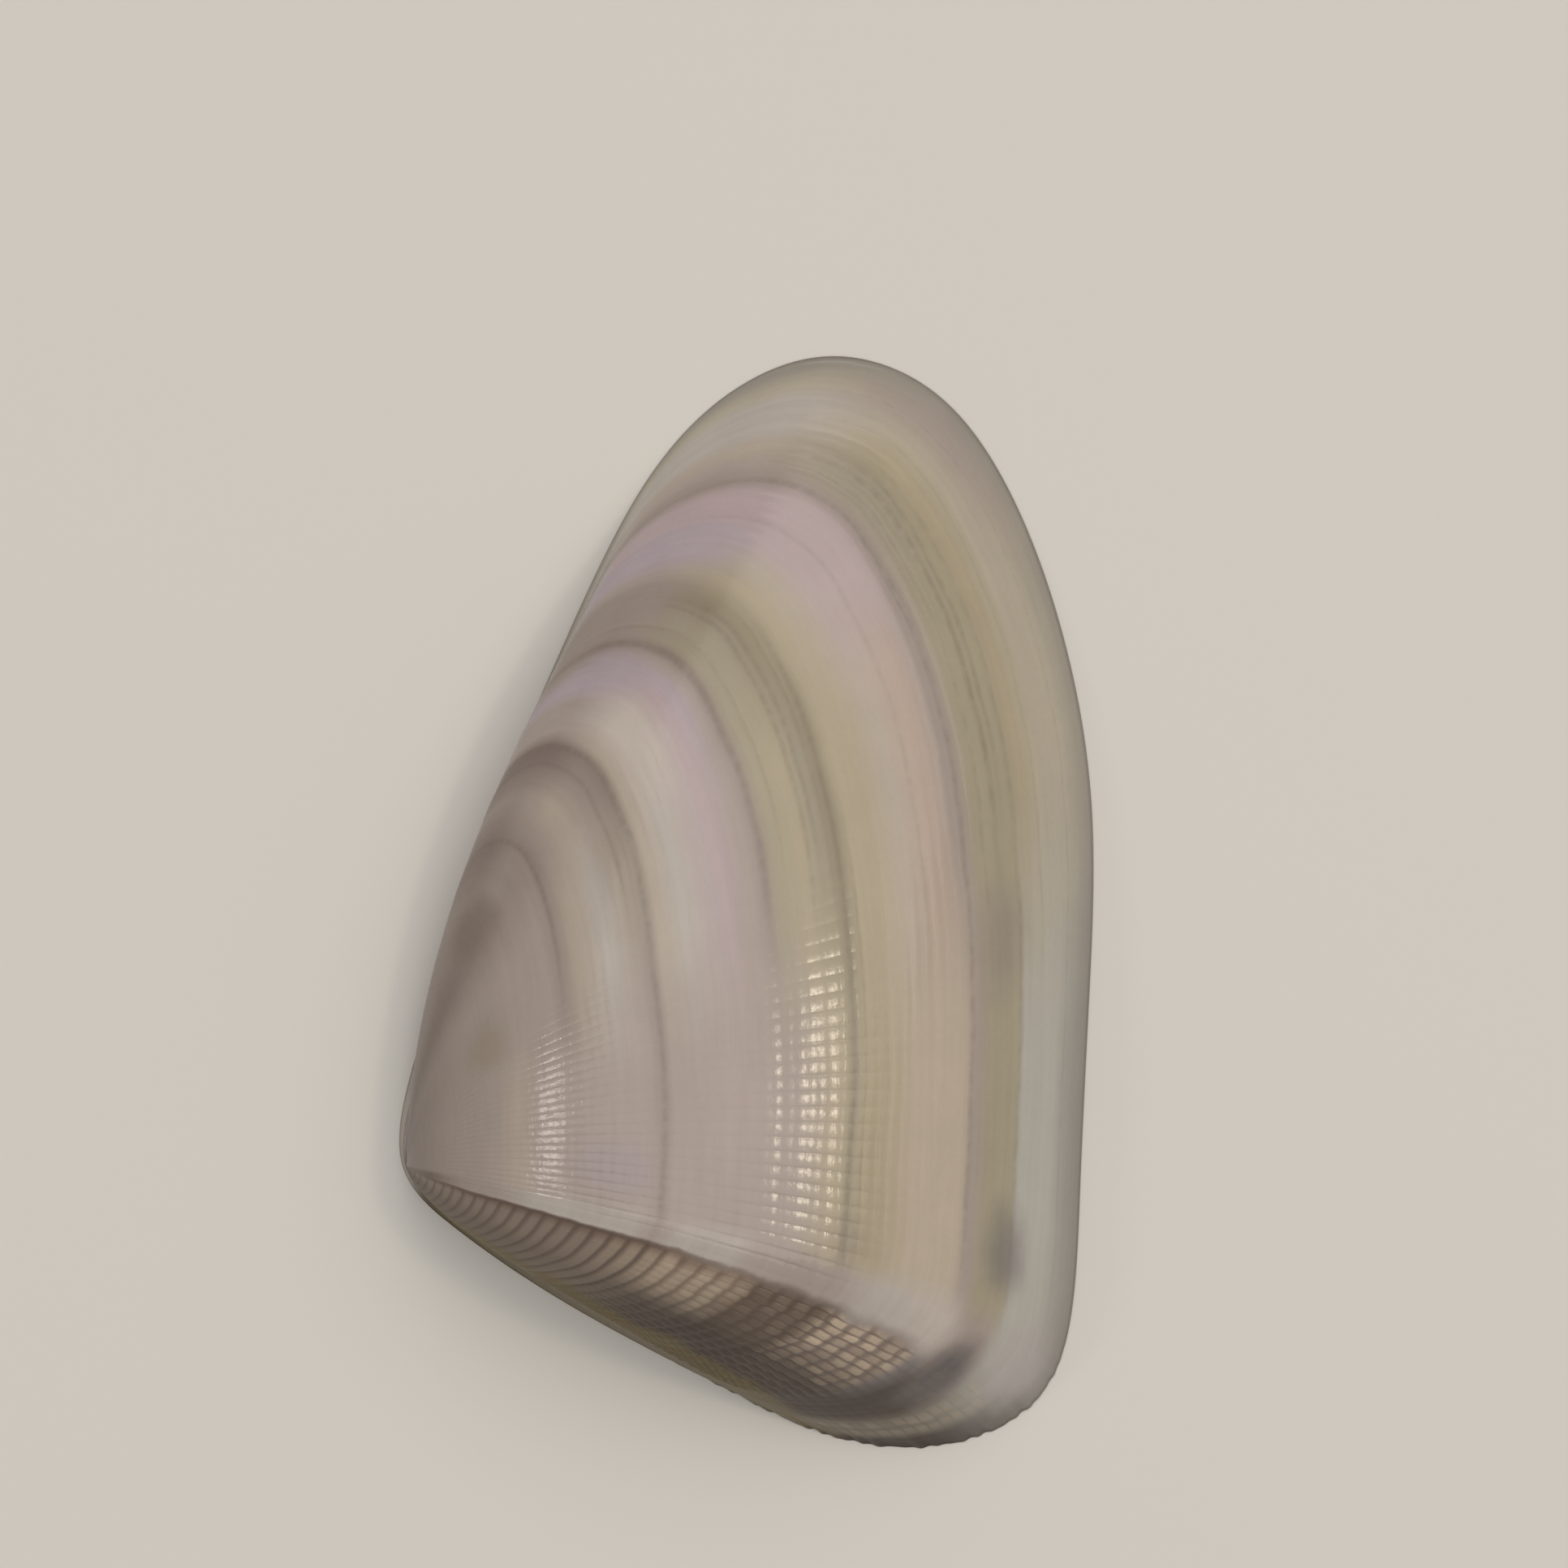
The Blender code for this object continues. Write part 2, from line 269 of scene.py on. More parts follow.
valve = bmesh.new()
station = valve.verts.layers.int.new("station")
around = valve.verts.layers.float.new("around")
reached = valve.verts.layers.float.new("reached")
grown_at = valve.verts.layers.float.new("age")
rib_count = valve.verts.layers.float.new("rib")
edges = start_ring(valve, outside[0])
note(edges, 1.0, ages[0])
rim_edges = edges
for row in range(1, len(sizes)):
    edges = next_ring(valve, edges, outside[row])
    note(edges, sizes[row], ages[row])
made = bmesh.ops.extrude_edge_only(valve, edges=edges)["geom"]
tip = [vertex for vertex in made if isinstance(vertex, bmesh.types.BMVert)]
bmesh.ops.pointmerge(valve, verts=tip, merge_co=BEAK * (1, 1, INFLATION))
beak = next(vertex for vertex in tip if vertex.is_valid)
beak[reached] = beak[grown_at] = 0.0

# Rim and hollow. Inside, the wall is thickest under the beak, where it carries the hinge plate with its
# teeth and their sockets. The free edge is toothed on its inner side, and the muscles that held the shell
# shut have left shallow scars, joined by the line along which the mantle was tied down.
WALL_AT_RIM = 0.75
WALL_IN_VAULT = 1.25
WALL_FULL_AT = 0.4          # share of the way to the centre
RIM_WIDTH = 0.70
RIM_PROFILE = [(0.05, 0.0), (0.22, 0.0), (0.30, 0.25), (0.40, 0.7), (0.52, 1.0), (0.62, 1.0)]  # in, and notched
NOTCH_DEPTH = 0.30
NOTCHED_RINGS = 7
HOLLOW_CENTRE = np.array([-0.55, -1.10])
HOLLOW_RINGS = 38
HOLLOW_REACH = 0.9          # share of the way to the centre that the rings cover
HOLLOW_EASE = 1.45          # how much closer together they are at the rim
HOLLOW_SIZE = 1.03          # the size noted where the hollow begins
PLATE_HEIGHT = 0.95         # the hinge plate, and how steeply it falls away into the hollow
PLATE_RISE = 1.7
PLATE_NEAR = (2.1, 4.5)     # width, and how far along the margin it keeps that, beside the beak and beyond
PLATE_FAR = (1.1, 11.0)
HINGE_HALF = 14.0           # the hinge side of the margin, each way from the beak
BLEND = 0.8                 # rounding between the plate and the vault
TEETH = [
    # start, end, width and how far it stands up towards the plane of the opening
    ((-10.85, -8.55), (-9.35, -7.55), 0.50, 0.70),
    ((-10.75, -9.55), (-9.30, -10.35), 0.60, 0.70),
    ((-9.75, -3.60), (-8.55, 0.30), 0.55, 0.60),
    ((-6.90, -12.35), (-4.60, -13.60), 0.55, 0.60),
    # sockets, cut into the plate
    ((-10.70, -9.05), (-9.20, -9.05), 0.45, -0.45),
    ((-10.30, -3.70), (-9.30, 0.20), 0.35, -0.30),
    ((-7.00, -12.95), (-4.90, -14.15), 0.35, -0.30),
]
SCARS = [
    # middle, half lengths, turn in degrees and depth of each muscle's scar
    ((-1.2, 12.6), (1.6, 2.6), -22, 0.10),
    ((1.6, -14.2), (2.2, 1.6), 12, 0.10),
]
SCAR_LIP = 0.03             # low lip around each scar
MANTLE_LINE = [(0.2, 13.8), (3.2, 13.6), (5.9, 10.9), (7.6, 6.2), (8.4, 0.6), (8.4, -5.0), (8.0, -9.6),
               (6.6, -12.9), (3.9, -14.3)]
MANTLE_DEPTH = 0.05
MANTLE_HALF_WIDTH = 0.35


def inward(points, width):
    """The plan outline moved in by the width, square to its own run."""
    along = np.roll(points, -1, axis=0) - np.roll(points, 1, axis=0)
    along /= np.linalg.norm(along, axis=1)[:, None]
    return points + width * np.column_stack([along[:, 1], -along[:, 0]])


def wall_height(roof_tree, place, wall):
    """Height under the outside surface at which the shell there is as thick as the wall."""
    roof = roof_tree.ray_cast(Vector((place[0], place[1], 40.0)), Vector((0, 0, -1)))[0]
    if roof is None:
        return 0.0
    low = 0.0
    high = roof.z
    for _ in range(14):
        middle = (low + high) / 2
        gap = roof_tree.find_nearest(Vector((place[0], place[1], middle)))[3]
        if gap > wall:
            low = middle
        else:
            high = middle
    return low


def gap_to_segment(spots, start, end):
    """Distance of each spot from the straight line between start and end."""
    start = np.array(start)
    along = np.array(end) - start
    share = np.clip(((spots - start) @ along) / (along @ along), 0, 1)
    return np.linalg.norm(spots - start - share[..., None] * along, axis=-1)


rough = bmesh.new()
rough_places = np.linspace(0, LAST, 120, endpoint=False)
rough_rows = growth_lines(rough_places, np.linspace(1.0, 0.06, 48))
edges = start_ring(rough, rough_rows[0])
for row in rough_rows[1:]:
    edges = next_ring(rough, edges, row)
roof_tree = BVHTree.FromBMesh(rough)
rough.free()

grown = margin_at(places)[0]
whole = run[-1]
from_beak = np.where(arc > whole / 2, arc - whole, arc)
plate_width = (PLATE_NEAR[0] * np.exp(-((from_beak / PLATE_NEAR[1]) ** 2))
               + PLATE_FAR[0] * np.exp(-((from_beak / PLATE_FAR[1]) ** 4)))
edge = inward(grown, RIM_WIDTH)
ways = HOLLOW_REACH * np.linspace(0, 1, HOLLOW_RINGS) ** HOLLOW_EASE
plans = edge[None] + (HOLLOW_CENTRE - edge)[None] * ways[:, None, None]
heights = np.zeros(plans.shape[:2])
near_margin = grown[::3]
for row in range(1, HOLLOW_RINGS):
    wall = WALL_AT_RIM + (WALL_IN_VAULT - WALL_AT_RIM) * min(1.0, ways[row] / WALL_FULL_AT)
    for i in range(0, COUNT, 2):
        place = plans[row, i]
        under = wall_height(roof_tree, place, wall)
        nearest = np.linalg.norm(near_margin - place, axis=1)
        j = int(np.argmin(nearest))
        plate = PLATE_HEIGHT + PLATE_RISE * max(0.0, nearest[j] - plate_width[3 * j])
        near = max(0.0, 1 - abs(under - plate) / BLEND)
        heights[row, i] = max(min(under, plate) - BLEND * near**2 / 4, 0.02)
    heights[row, 1::2] = (heights[row, 0::2] + np.roll(heights[row, 0::2], -1)) / 2
# laid down coat by coat, the inside is even
for _ in range(10):
    beside = (np.roll(heights, 1, axis=1) + np.roll(heights, -1, axis=1)) / 2
    across = heights.copy()
    across[1:-1] = (heights[:-2] + heights[2:]) / 2
    heights[1:] = heights[1:] / 2 + beside[1:] / 4 + across[1:] / 4

for start, end, width, stand in TEETH:
    gap = gap_to_segment(plans, start, end)
    ridge = 1 - eased(0.25 * width, 0.75 * width, gap)
    heights = heights - ridge * np.minimum(stand, heights - 0.2)
for middle, halves, turn, depth in SCARS:
    angle = math.radians(turn)
    arm = plans - np.array(middle)
    x = (arm[..., 0] * math.cos(angle) + arm[..., 1] * math.sin(angle)) / halves[0]
    y = (arm[..., 1] * math.cos(angle) - arm[..., 0] * math.sin(angle)) / halves[1]
    reach = np.hypot(x, y)
    heights += depth * (1 - eased(0.85, 1.0, reach)) - SCAR_LIP * np.exp(-(((reach - 1.05) / 0.06) ** 2))
tied = np.full(heights.shape, 99.0)
for start, end in zip(MANTLE_LINE, MANTLE_LINE[1:]):
    tied = np.minimum(tied, gap_to_segment(plans, start, end))
heights += MANTLE_DEPTH * np.exp(-((tied / MANTLE_HALF_WIDTH) ** 2))

# toothed inner side of the free edge: notches between small flat teeth, none along the hinge
free = 1 - np.exp(-((from_beak / HINGE_HALF) ** 4))
notch = free * (0.5 + 0.5 * np.cos(2 * math.pi * arc / RIB_PITCH)) ** 0.7
rim_rows = []
for width, cut in RIM_PROFILE:
    plan = inward(grown, width) + (outside[0, :, :2] - grown) * (1 - width / RIM_WIDTH)
    rim_rows.append(np.column_stack([plan, NOTCH_DEPTH * cut * notch]))
for row in range(NOTCHED_RINGS):
    heights[row] += NOTCH_DEPTH * notch * (1 - eased(0.0, NOTCHED_RINGS - 1.0, float(row)))

edges = rim_edges
for row, ring in enumerate(rim_rows):
    edges = next_ring(valve, edges, ring)
    note(edges, 1.0 + 0.002 * (row + 1), ages[0])
for row in range(HOLLOW_RINGS):
    edges = next_ring(valve, edges, np.column_stack([plans[row], heights[row]]))
    note(edges, HOLLOW_SIZE + ways[row], ages[0])
made = bmesh.ops.extrude_edge_only(valve, edges=edges)["geom"]
peak = [vertex for vertex in made if isinstance(vertex, bmesh.types.BMVert)]
bmesh.ops.pointmerge(valve, verts=peak, merge_co=(*HOLLOW_CENTRE, float(heights[-1].mean())))
vault = next(vertex for vertex in peak if vertex.is_valid)
vault[reached] = HOLLOW_SIZE + ways[-1]
vault[grown_at] = 1.0

# seat the valve where the solid one lies: standing on the table, centred, in metres
solid_low, solid_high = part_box("right_valve")
spread = growth_lines(places, np.linspace(1.0, 0.1, 60)).reshape(-1, 3)
low, high = spread.min(axis=0), spread.max(axis=0)
scale = (solid_high.y - solid_low.y) / (high[1] - low[1])
shift = Vector((-(low[0] + high[0]) / 2, -(low[1] + high[1]) / 2, 0.0))
seat = Matrix.Scale(scale, 4) @ Matrix.Translation(shift)
bmesh.ops.transform(valve, matrix=seat, verts=valve.verts)
bmesh.ops.recalc_face_normals(valve, faces=valve.faces)

# growth map: across it the place along the margin, up it the size reached, and past 1 the way into the hollow
growth_map = valve.loops.layers.uv.new("growth")
for face in valve.faces:
    spots = {vertex: vertex[around] for vertex in face.verts if vertex not in (beak, vault)}
    if max(spots.values()) - min(spots.values()) > LAST / 2:
        spots = {vertex: spot + LAST if spot < LAST / 2 else spot for vertex, spot in spots.items()}
    middle = sum(spots.values()) / len(spots)
    for loop in face.loops:
        loop[growth_map].uv = (spots.get(loop.vert, middle) / LAST, loop.vert[reached])

shell = bpy.data.objects.new("shell_valve", bpy.data.meshes.new("shell_valve"))
bpy.context.scene.collection.objects.link(shell)
valve.to_mesh(shell.data)
valve.free()
shell.data.shade_smooth()

# Right valve: finish. Aragonite is a hard, translucent mineral, and the animal polished it as it grew, so it
# has a satin gloss. Its colours lie in growth bands, from a brown beak to cream, rose, lilac and olive, with
# a dull brown rear slope, whose colours are also painted darker as painted shade, since it faces away from
# the light. Inside it is white porcelain-like shell.
COLOURS = {
    "bark": "#665649", "umber": "#82726a", "hazel": "#706157", "dun": "#94857b", "fawn": "#9f9188",
    "stone": "#ad9f96", "cream": "#b8aa9b", "buff": "#c2b3a1", "chalk": "#bdb4ab", "bone": "#c9bdb3",
    "ash": "#9b948a", "peach": "#bca798", "rose": "#bba8a9", "lilac": "#b5a6ac", "mauve": "#a79a9e",
    "olive": "#a39983", "sage": "#aba189", "moss": "#93876f", "straw": "#b3a58b", "slate": "#8c8380",
    "plum": "#767070", "dusk": "#635c5b", "fog": "#a5a19a", "pebble": "#918b84", "oat": "#bab09d",
    "pearl": "#b9b0ad", "loam": "#5e4f41", "mist": "#b9b5ac", "tan": "#988776", "sand": "#cbb79f",
    "peat": "#463a31", "rust": "#614a3d", "bracken": "#797162", "film": "#6c5d39", "milk": "#e6e0d6",
    "blush": "#cbbcc0",
}
# Colour bands from the beak, 0, to the grown edge, 1, along six lines down the shell
BANDS = {
    # on the tip line, stone rather than chalk at 0.51 to 0.545 is partly painted shade along the steep front
    # edge
    "tip": [
        (0.00, "bark"), (0.10, "umber"), (0.30, "dun"), (0.37, "umber"), (0.43, "fawn"), (0.475, "umber"),
        (0.492, "umber"), (0.51, "stone"), (0.545, "stone"), (0.57, "lilac"), (0.605, "fawn"),
        (0.618, "dun"), (0.635, "fawn"), (0.66, "fawn"), (0.695, "fawn"), (0.712, "stone"), (0.737, "lilac"),
        (0.77, "lilac"), (0.785, "rose"), (0.812, "rose"), (0.832, "fawn"), (0.855, "stone"), (0.88, "cream"),
        (0.905, "chalk"), (0.95, "chalk"), (0.97, "oat"), (1.0, "ash"),
    ],
    "front": [
        (0.00, "bark"), (0.21, "umber"), (0.27, "dun"), (0.31, "dun"), (0.325, "fawn"), (0.37, "fawn"),
        (0.376, "dun"), (0.385, "fawn"), (0.43, "cream"), (0.465, "fawn"), (0.490, "dun"), (0.50, "cream"),
        (0.525, "bone"), (0.552, "bone"), (0.575, "rose"), (0.595, "lilac"), (0.608, "stone"), (0.619, "dun"),
        (0.632, "olive"), (0.655, "olive"), (0.682, "moss"), (0.712, "straw"), (0.74, "cream"),
        (0.765, "rose"), (0.815, "rose"), (0.832, "fawn"), (0.86, "olive"), (0.885, "olive"),
        (0.908, "straw"), (0.935, "oat"), (0.965, "stone"), (1.0, "ash"),
    ],
    "middle": [
        (0.00, "bark"), (0.08, "umber"), (0.20, "fawn"), (0.30, "stone"), (0.36, "stone"), (0.376, "fawn"),
        (0.40, "cream"), (0.44, "chalk"), (0.470, "stone"), (0.488, "fawn"), (0.500, "cream"),
        (0.53, "chalk"), (0.575, "rose"), (0.605, "stone"), (0.619, "fawn"), (0.632, "sage"),
        (0.66, "straw"), (0.680, "olive"), (0.699, "moss"), (0.714, "straw"), (0.735, "straw"),
        (0.765, "cream"), (0.80, "peach"), (0.825, "stone"), (0.836, "stone"), (0.85, "sage"), (0.89, "sage"),
        (0.91, "straw"), (0.935, "oat"), (0.962, "oat"), (1.0, "ash"),
    ],
    "belly": [
        (0.00, "umber"), (0.07, "umber"), (0.17, "fawn"), (0.26, "stone"), (0.30, "cream"), (0.34, "stone"),
        (0.41, "stone"), (0.44, "stone"), (0.472, "stone"), (0.489, "fawn"), (0.502, "stone"),
        (0.54, "stone"), (0.60, "stone"), (0.618, "stone"), (0.64, "stone"), (0.685, "straw"),
        (0.699, "olive"), (0.710, "straw"), (0.73, "straw"), (0.77, "buff"), (0.825, "buff"),
        (0.840, "stone"), (0.86, "sage"), (0.893, "sage"), (0.902, "mist"), (0.945, "mist"), (0.97, "fog"),
        (1.0, "pebble"),
    ],
    "keel": [
        (0.00, "bark"), (0.12, "bark"), (0.20, "fawn"), (0.27, "stone"), (0.33, "chalk"), (0.46, "chalk"),
        (0.49, "stone"), (0.52, "chalk"), (0.58, "chalk"), (0.62, "stone"), (0.70, "stone"), (0.75, "chalk"),
        (0.835, "bone"), (0.862, "stone"), (0.885, "stone"), (0.91, "mist"), (0.935, "mist"), (0.965, "fog"),
        (1.0, "pebble"),
    ],
    # the rear slope's shades are partly its own brown and partly painted shade, darker because the slope faces
    # away from the light
    "slope": [
        (0.00, "bark"), (0.16, "hazel"), (0.45, "hazel"), (0.505, "hazel"), (0.52, "tan"),
        (0.61, "tan"), (0.636, "loam"), (0.715, "loam"), (0.735, "dun"), (0.825, "dun"),
        (0.842, "plum"), (0.86, "peat"), (0.90, "peat"), (0.918, "bracken"), (0.950, "bracken"),
        (0.965, "peat"), (1.0, "peat"),
    ],
}
# where along the margin one line of bands passes into the next
MEETINGS = [("front", 5.9, 7.2), ("middle", 7.4, 9.0), ("belly", 9.6, 11.4), ("keel", 13.0, 13.7),
            ("slope", 14.07, 14.20), ("tip", 19.2, 19.9)]
# Blotches: place along the margin, size reached, half lengths, colour and strength
BLOTCHES = [
    (7.0, 0.275, 1.3, 0.045, "bark", 0.45),
    (9.9, 0.255, 0.7, 0.05, "moss", 0.45),
    (9.0, 0.470, 1.2, 0.035, "olive", 0.35),
    (12.4, 0.430, 0.7, 0.07, "mauve", 0.60),
    (11.6, 0.570, 0.8, 0.06, "rose", 0.35),
    (6.0, 0.750, 0.9, 0.030, "lilac", 0.65),
    (6.2, 0.585, 0.9, 0.035, "lilac", 0.70),
    (6.9, 0.805, 1.4, 0.035, "rose", 0.75),
    (7.9, 0.900, 1.1, 0.022, "straw", 0.55),
    (10.6, 0.870, 0.45, 0.035, "slate", 0.38),
    (12.6, 0.889, 0.48, 0.036, "plum", 0.64),
    (14.4, 0.880, 0.75, 0.030, "dusk", 0.90),
    (12.9, 0.700, 0.4, 0.03, "dun", 0.35),
    (13.7, 0.950, 0.8, 0.045, "pearl", 0.70),
    (14.7, 0.620, 0.35, 0.03, "rust", 0.30),
]
# Dark dotted lines left by short pauses: size reached, half width, first and last place, and darkness
PAUSE_LINES = [
    (0.376, 0.006, 5.0, 9.5, 0.22), (0.468, 0.004, 5.0, 9.0, 0.18), (0.489, 0.007, 5.0, 13.4, 0.24),
    (0.6195, 0.007, 5.5, 10.0, 0.26), (0.642, 0.004, 5.5, 9.5, 0.15), (0.669, 0.005, 6.5, 10.0, 0.26),
    (0.678, 0.005, 6.5, 9.6, 0.22), (0.690, 0.004, 7.0, 10.0, 0.18), (0.6985, 0.006, 7.5, 12.6, 0.24),
    (0.7105, 0.003, 9.5, 12.5, 0.18), (0.7855, 0.005, 6.0, 10.5, 0.12), (0.8345, 0.006, 6.0, 12.8, 0.24),
    (0.858, 0.004, 6.5, 10.5, 0.18), (0.873, 0.006, 6.5, 10.0, 0.30), (0.883, 0.005, 6.8, 9.6, 0.24),
    (0.896, 0.005, 7.0, 12.6, 0.18), (0.925, 0.003, 6.0, 11.0, 0.10), (0.962, 0.003, 6.0, 13.0, 0.10),
]
LINE_FADE = 0.6             # how far a line takes to fade, each way from its first and last place
# How strongly the beads, and the dark lines between their rows, show at each age
BEADS_SHOW = [(0.0, 0.0), (0.15, 0.20), (0.42, 0.28), (0.50, 0.52), (0.60, 0.52), (0.64, 0.14), (0.71, 0.22),
              (0.730, 0.88), (0.822, 0.88), (0.838, 0.04), (0.91, 0.04), (0.925, 0.30), (0.945, 0.30),
              (0.96, 0.0)]
ROWS_SHOW = [(0.0, 0.0), (0.12, 0.30), (0.40, 0.38), (0.50, 0.42), (0.60, 0.35), (0.66, 0.25), (0.71, 0.35),
             (0.735, 0.50), (0.822, 0.50), (0.838, 0.04), (1.0, 0.0)]
# Noise and line patterns: 1000 over the scale is their grain in mm, and lines count over the whole growth
WAVER_SCALE = 260.0
RAGGED_SCALE = 700.0
CLOUD_SCALE = 420.0
GRAIN_SCALE = 5200.0        # 0.2 mm, coarser than the mineral's own grain, so that it shows
FINE_LINES = 95.0
DOT_ROWS = 60.0
TILE_ROWS = 75.0
PLATE_HALF = 0.0065         # half the spacing of the ridges along the growth lines, in share of the size
GLOSS = 0.13
DULL_SLOPE = 0.27
GLOSS_INSIDE = 0.22
REFRACTION = 1.55           # between the mineral's own 1.53 and 1.68


def linear(code):
    """Turn an sRGB hex colour into linear light."""
    parts = [int(code[i:i + 2], 16) / 255 for i in (1, 3, 5)]
    return tuple(p / 12.92 if p <= 0.04045 else ((p + 0.055) / 1.055) ** 2.4 for p in parts) + (1.0,)


def add(tree, kind, settings, inputs):
    """Add a node, set its properties, and fill or link its sockets."""
    made = tree.nodes.new("ShaderNode" + kind)
    for name, value in settings.items():
        setattr(made, name, value)
    for name, value in inputs.items():
        if isinstance(value, bpy.types.NodeSocket):
            tree.links.new(value, made.inputs[name])
        else:
            made.inputs[name].default_value = value
    return made


# settings that many nodes share
SMOOTH = {"interpolation_type": "SMOOTHSTEP"}
TIMES = {"operation": "MULTIPLY"}
TIMES_PLUS = {"operation": "MULTIPLY_ADD"}
COLOURS_MIXED = {"data_type": "RGBA"}
VALUES_MIXED = {"data_type": "FLOAT"}

aragonite = bpy.data.materials.new("polished aragonite shell")
aragonite.use_nodes = True
tree = aragonite.node_tree
surface = tree.nodes["Principled BSDF"]
growth = add(tree, "UVMap", {"uv_map": "growth"}, {})
parts = add(tree, "SeparateXYZ", {}, {"Vector": growth.outputs["UV"]})
turn = add(tree, "Math", TIMES, {0: parts.outputs["X"], 1: float(LAST)}).outputs[0]
size = parts.outputs["Y"]
age = add(tree, "Attribute", {"attribute_name": "age"}, {}).outputs["Fac"]
rib = add(tree, "Attribute", {"attribute_name": "rib"}, {}).outputs["Fac"]
space = add(tree, "TexCoord", {}, {}).outputs["Object"]

# bands waver a little, as the edge never grew quite evenly
waver = add(tree, "TexNoise", {}, {"Vector": space, "Scale": WAVER_SCALE, "Detail": 3.0}).outputs["Fac"]
sway = add(tree, "Math", TIMES_PLUS, {0: waver, 1: 0.010, 2: -0.005}).outputs[0]
swayed = add(tree, "Math", {"operation": "ADD"}, {0: age, 1: sway}).outputs[0]
ragged = add(tree, "TexNoise", {}, {"Vector": space, "Scale": RAGGED_SCALE, "Detail": 4.0}).outputs["Fac"]
fuzz = add(tree, "MapRange", {},
           {"Value": age, "From Min": 0.3, "From Max": 0.6, "To Min": 0.15, "To Max": 0.36}).outputs[0]
fuzzy = add(tree, "Math", {"operation": "SUBTRACT"}, {0: ragged, 1: 0.5}).outputs[0]
fuzzy = add(tree, "Math", TIMES, {0: fuzzy, 1: fuzz}).outputs[0]
fuzzy = add(tree, "Math", {"operation": "ADD"}, {0: turn, 1: fuzzy}).outputs[0]
hues = {}
for name, stops in BANDS.items():
    ramp = add(tree, "ValToRGB", {}, {"Fac": swayed})
    elements = ramp.color_ramp.elements
    elements[0].position, elements[1].position = stops[0][0], stops[-1][0]
    elements[0].color, elements[1].color = linear(COLOURS[stops[0][1]]), linear(COLOURS[stops[-1][1]])
    for at, colour in stops[1:-1]:
        elements.new(at).color = linear(COLOURS[colour])
    hues[name] = ramp.outputs["Color"]

rounding = add(tree, "MapRange", SMOOTH,
               {"Value": age, "From Min": 0.81, "From Max": 0.90}).outputs[0]
softer = add(tree, "MapRange", SMOOTH,
             {"Value": age, "From Min": 0.40, "From Max": 0.58}).outputs[0]
# the slope's markings end before the beak is reached again
rearmost = add(tree, "MapRange", SMOOTH,
               {"Value": turn, "From Min": 19.7, "From Max": 18.8}).outputs[0]
colour = hues["tip"]
for name, begins, ends in MEETINGS:
    if name == "slope":
        # the keel's edge grows softer, and near the grown edge its corner rounds off and its sides meet
        begins = add(tree, "Math", TIMES_PLUS, {0: softer, 1: -0.05, 2: begins}).outputs[0]
        ends = add(tree, "Math", TIMES_PLUS, {0: softer, 1: 0.12, 2: ends}).outputs[0]
        begins = add(tree, "Math", TIMES_PLUS, {0: rounding, 1: -0.25, 2: begins}).outputs[0]
        ends = add(tree, "Math", TIMES_PLUS, {0: rounding, 1: 0.80, 2: ends}).outputs[0]
    share = add(tree, "MapRange", SMOOTH,
                {"Value": fuzzy, "From Min": begins, "From Max": ends}).outputs[0]
    colour = add(tree, "Mix", COLOURS_MIXED, {"Factor": share, 6: colour, 7: hues[name]}).outputs[2]

# blotches, with ragged edges
for at, reached_at, wide, deep, tint, strength in BLOTCHES:
    x = add(tree, "Math", TIMES_PLUS, {0: turn, 1: 1 / wide, 2: -at / wide}).outputs[0]
    y = add(tree, "Math", TIMES_PLUS, {0: age, 1: 1 / deep, 2: -reached_at / deep}).outputs[0]
    arm = add(tree, "CombineXYZ", {}, {"X": x, "Y": y})
    reach = add(tree, "VectorMath", {"operation": "LENGTH"}, {0: arm.outputs[0]}).outputs["Value"]
    torn = add(tree, "Math", TIMES_PLUS, {0: ragged, 1: 0.6, 2: reach}).outputs[0]
    share = add(tree, "MapRange", SMOOTH,
                {"Value": torn, "From Min": 1.5, "From Max": 0.5, "To Max": strength}).outputs[0]
    colour = add(tree, "Mix", COLOURS_MIXED,
                 {"Factor": share, 6: colour, 7: linear(COLOURS[tint])}).outputs[2]

# growth lines: the fine ones everywhere are drawn out along the margin, a quarter of a millimetre apart
fine_at = add(tree, "CombineXYZ", {}, {
    "X": add(tree, "Math", TIMES, {0: swayed, 1: FINE_LINES}).outputs[0],
    "Y": add(tree, "Math", TIMES, {0: turn, 1: 0.55}).outputs[0]}).outputs[0]
fine = add(tree, "TexNoise", {"noise_dimensions": "2D"},
           {"Vector": fine_at, "Scale": 1.0, "Detail": 4.0, "Roughness": 0.65}).outputs["Fac"]
dots_at = add(tree, "CombineXYZ", {}, {
    "X": add(tree, "Math", TIMES, {0: age, 1: DOT_ROWS}).outputs[0],
    "Y": add(tree, "Math", TIMES, {0: turn, 1: 9.0}).outputs[0]}).outputs[0]
dots = add(tree, "TexNoise", {"noise_dimensions": "2D"},
           {"Vector": dots_at, "Scale": 1.0, "Detail": 2.0}).outputs["Fac"]
dotted = add(tree, "MapRange", {},
             {"Value": dots, "From Min": 0.30, "From Max": 0.62, "To Min": 0.35}).outputs[0]
